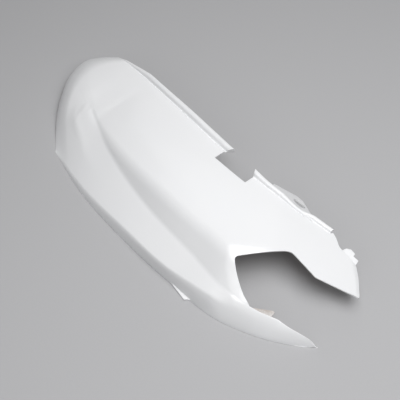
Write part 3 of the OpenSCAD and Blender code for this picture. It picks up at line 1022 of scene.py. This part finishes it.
# %% A wire that takes part in sums
class Wire:
    """One output of a shader node."""

    def __init__(self, tree, socket=None):
        self.tree, self.socket = tree, socket

    def node(self, kind, settings, inputs, output=0):
        """Add a node: its settings first, then the values or wires of its sockets."""
        made = self.tree.nodes.new(kind)
        for name, value in settings.items():
            setattr(made, name, value)
        for name, value in inputs.items():
            if isinstance(value, Wire):
                self.tree.links.new(value.socket, made.inputs[name])
            else:
                made.inputs[name].default_value = value
        return Wire(self.tree, made.outputs[output])

    def math(self, operation, *values):
        return self.node("ShaderNodeMath", {"operation": operation}, dict(enumerate(values)))

    def __add__(self, other):
        return self.math("ADD", self, other)

    __radd__ = __add__

    def __mul__(self, other):
        return self.math("MULTIPLY", self, other)

    __rmul__ = __mul__

    def fade(self, start, end):
        """0 up to start and 1 from end, smooth between; start may be the larger."""
        return self.node(
            "ShaderNodeMapRange",
            {"interpolation_type": "SMOOTHSTEP"},
            {"Value": self, "From Min": start, "From Max": end},
        )


# %% Colours, noise and bumps
def tint(wire, share, first, second):
    """One colour that turns into another as the share goes from 0 to 1."""
    first, second = (c if isinstance(c, Wire) else (*c, 1) for c in (first, second))
    return wire.node("ShaderNodeMix", {"data_type": "RGBA"}, {0: share, 6: first, 7: second}, 2)


def noise(wire, place, size, detail=2.0, roughness=0.5):
    """Soft noise whose lumps are about the given size across, in millimetres."""
    return wire.node(
        "ShaderNodeTexNoise",
        {},
        {"Vector": place, "Scale": 1 / (size * MM), "Detail": detail, "Roughness": roughness},
    )


def bump(wire, height, depth, strength):
    """A tilt of the surface's normal, for lumps as deep as given, in millimetres."""
    sockets = {"Strength": strength, "Distance": depth * MM, "Height": height}
    return wire.node("ShaderNodeBump", {}, sockets)


def start(material):
    """A first wire in a material, and the place on the object."""
    material.use_nodes = True
    wire = Wire(material.node_tree)
    return wire, wire.node("ShaderNodeTexCoord", {}, {}, "Object")


def finish(material, sockets):
    """Feed the sockets of a material's main shader."""
    shader = material.node_tree.nodes["Principled BSDF"]
    for name, value in sockets.items():
        if isinstance(value, Wire):
            material.node_tree.links.new(value.socket, shader.inputs[name])
        else:
            shader.inputs[name].default_value = value
    print(material.name + ":", len(material.node_tree.nodes), "nodes")


# %% [markdown]
# ## Gloss white paint
# The outside is sprayed white under a clear coat. Seen close, such paint isn't flat:
# it dries with orange peel, low lumps about 3 mm across that waver a reflection. Over
# larger distances the film is a touch thicker or thinner, and handling leaves faint
# patches that shine less. The peel is a bump; the patches change the roughness. The
# white is a little cool, and it is kept under pure white so that light can model it.

# %% Outside: white gloss paint
THIN_WHITE, THICK_WHITE = (0.835, 0.842, 0.858), (0.86, 0.865, 0.875)

wire, place = start(paint)
film = noise(wire, place, size=90, detail=3)
handled = noise(wire, place, size=28, detail=4, roughness=0.6).fade(0.45, 0.7)
peel = noise(wire, place, size=3.2, detail=1.5)
finish(
    paint,
    {
        "Base Color": tint(wire, film, THIN_WHITE, THICK_WHITE),
        "Roughness": 0.27 + 0.07 * handled + 0.03 * film,
        "Normal": bump(wire, peel, depth=0.2, strength=0.12),
        "Coat Weight": 0.5,
        "Coat Roughness": 0.12,
        "IOR": 1.5,
    },
)

# %% [markdown]
# ## Bare plastic with overspray
# The inside and the shelf are ABS as it left the mould: a warm grey-beige with a fine
# spark-eroded grain half a millimetre across, duller than the paint, with soft marks
# where the plastic flowed. White mist covers the first centimetres behind each cut
# edge, and breaks up into specks before it ends.

# %% Inside: bare plastic
DARK_PLASTIC, LIGHT_PLASTIC = (0.40, 0.345, 0.305), (0.47, 0.41, 0.365)
MIST_WHITE = (0.8, 0.8, 0.81)
MIST_GONE, MIST_FULL, MIST_SPECKS, MIST_DRIFT = 0.05, 0.022, 0.02, 0.03

wire, place = start(bare)
edge = wire.node("ShaderNodeAttribute", {"attribute_name": "from_edge"}, {}, "Fac")
specks = noise(wire, place, size=1.6, detail=3, roughness=0.7)
drift = noise(wire, place, size=35, detail=2)
from_edge = edge + MIST_SPECKS * specks + MIST_DRIFT * drift
mist = from_edge.fade(MIST_GONE, MIST_FULL)
flow = noise(wire, place, size=60, detail=4, roughness=0.6)
grain = noise(wire, place, size=0.5, detail=2, roughness=0.6)
plastic = tint(wire, flow, DARK_PLASTIC, LIGHT_PLASTIC)
finish(
    bare,
    {
        "Base Color": tint(wire, mist, plastic, MIST_WHITE),
        "Roughness": 0.48 + 0.14 * grain + 0.12 * mist,
        "Normal": bump(wire, grain, depth=0.1, strength=0.25),
        "IOR": 1.5,
    },
)
painted = sum(1 for f in panel.data.polygons if f.material_index == 0)
print(painted, "of", len(panel.data.polygons), "faces are painted")

# %% [markdown]
# ## The floor
# A white object needs a ground that is darker than it is, or its outline is lost. The
# floor is a sheet of plain light grey paper, large enough to fill the picture. Its
# fibres vary the grey a little, because a perfectly even floor looks unreal.

# %% Floor
FLOOR_HALF = 6
DARK_PAPER, LIGHT_PAPER = (0.43, 0.43, 0.44), (0.46, 0.46, 0.47)

corners =[(x * FLOOR_HALF, y * FLOOR_HALF, 0) for x, y in ((-1, -1), (1, -1), (1, 1), (-1, 1))]
floor_mesh = bpy.data.meshes.new("floor")
floor_mesh.from_pydata(corners, [], [(0, 1, 2, 3)])
floor = bpy.data.objects.new("floor", floor_mesh)
bpy.context.scene.collection.objects.link(floor)
paper = bpy.data.materials.new("light grey paper")
wire, place = start(paper)
fibre = noise(wire, place, size=2.5, detail=3, roughness=0.6)
finish(paper, {"Base Color": tint(wire, fibre, DARK_PAPER, LIGHT_PAPER), "Roughness": 0.9})
floor.data.materials.append(paper)

# %% [markdown]
# ## The light
# Gloss white is modelled by large soft boxes, because a bare lamp would leave small
# hard glints. The box above and the one in front give most of the light, so the
# crown and the scooped face are bright. The box on the near side is weak, so the
# facet there is a step darker and the low wall lies in shade, as in the photograph.
# A faint box on the far side of the tail lifts the seat edge, and a dim grey room
# keeps the shadows open. The powers were set by comparing the brightness of about
# twenty places with the photograph, and no large surface turns pure white.

# %% Lamps
ROOM_LIGHT = 0.057


def soft_box(name, place, size, power):
    """A rectangular lamp that faces the panel's middle."""
    data = bpy.data.lights.new(name, "AREA")
    data.shape = "RECTANGLE"
    data.size, data.size_y = size
    data.energy = power
    lamp = bpy.data.objects.new(name, data)
    lamp.location = place
    lamp.rotation_mode = "QUATERNION"
    lamp.rotation_quaternion = (-Vector(place)).to_track_quat("-Z", "Y")
    bpy.context.scene.collection.objects.link(lamp)
    print(name + ":", power, "W,", round(Vector(place).length, 2), "m away")


soft_box("top box", (0.35, 0.1, 1.85), size=(1.6, 1.6), power=22)
soft_box("front box", (1.1, 0, 1.7), size=(1.4, 1.4), power=19)
soft_box("near box", (0.2, -1.5, 1.2), size=(1.6, 1.2), power=4.8)
soft_box("far box", (-0.9, 1.1, 1.4), size=(1.4, 1.2), power=2.8)
world = bpy.data.worlds.new("room")
world.use_nodes = True
world.node_tree.nodes["Background"].inputs["Color"].default_value = (1, 1, 1, 1)
world.node_tree.nodes["Background"].inputs["Strength"].default_value = ROOM_LIGHT
bpy.context.scene.world = world

# %% [markdown]
# ## The camera
# The photograph is taken from above and from the front-right, with a long lens, so
# the panel's lines stay nearly parallel. The camera stands where the photograph's
# did: a turn about the upright axis, a height, a distance and the point it looks at.

# %% Camera
CAMERA_TURN, CAMERA_HEIGHT, CAMERA_AWAY = 47, 52, 1.2834
LOOK_AT = (52, 9, 30)
SENSOR_WIDTH, HALF_VIEW = 36, 14
cam = bpy.data.cameras.new("camera")
cam.sensor_width = SENSOR_WIDTH
cam.lens = SENSOR_WIDTH / 2 / math.tan(math.radians(HALF_VIEW))
camera = bpy.data.objects.new("camera", cam)
bpy.context.scene.collection.objects.link(camera)
bpy.context.scene.camera = camera
turn, height = math.radians(CAMERA_TURN), math.radians(CAMERA_HEIGHT)
level = math.cos(height)
look = Vector((-math.sin(turn) * level, math.cos(turn) * level, -math.sin(height)))
target = (Vector(LOOK_AT) - Vector(CENTRE)) * MM
camera.location = target - look * CAMERA_AWAY
camera.rotation_mode = "QUATERNION"
camera.rotation_quaternion = look.to_track_quat("-Z", "Y")
bpy.context.scene.view_settings.view_transform = "Standard"
print("camera with a lens of", round(cam.lens, 1), "mm stands at", camera.location)
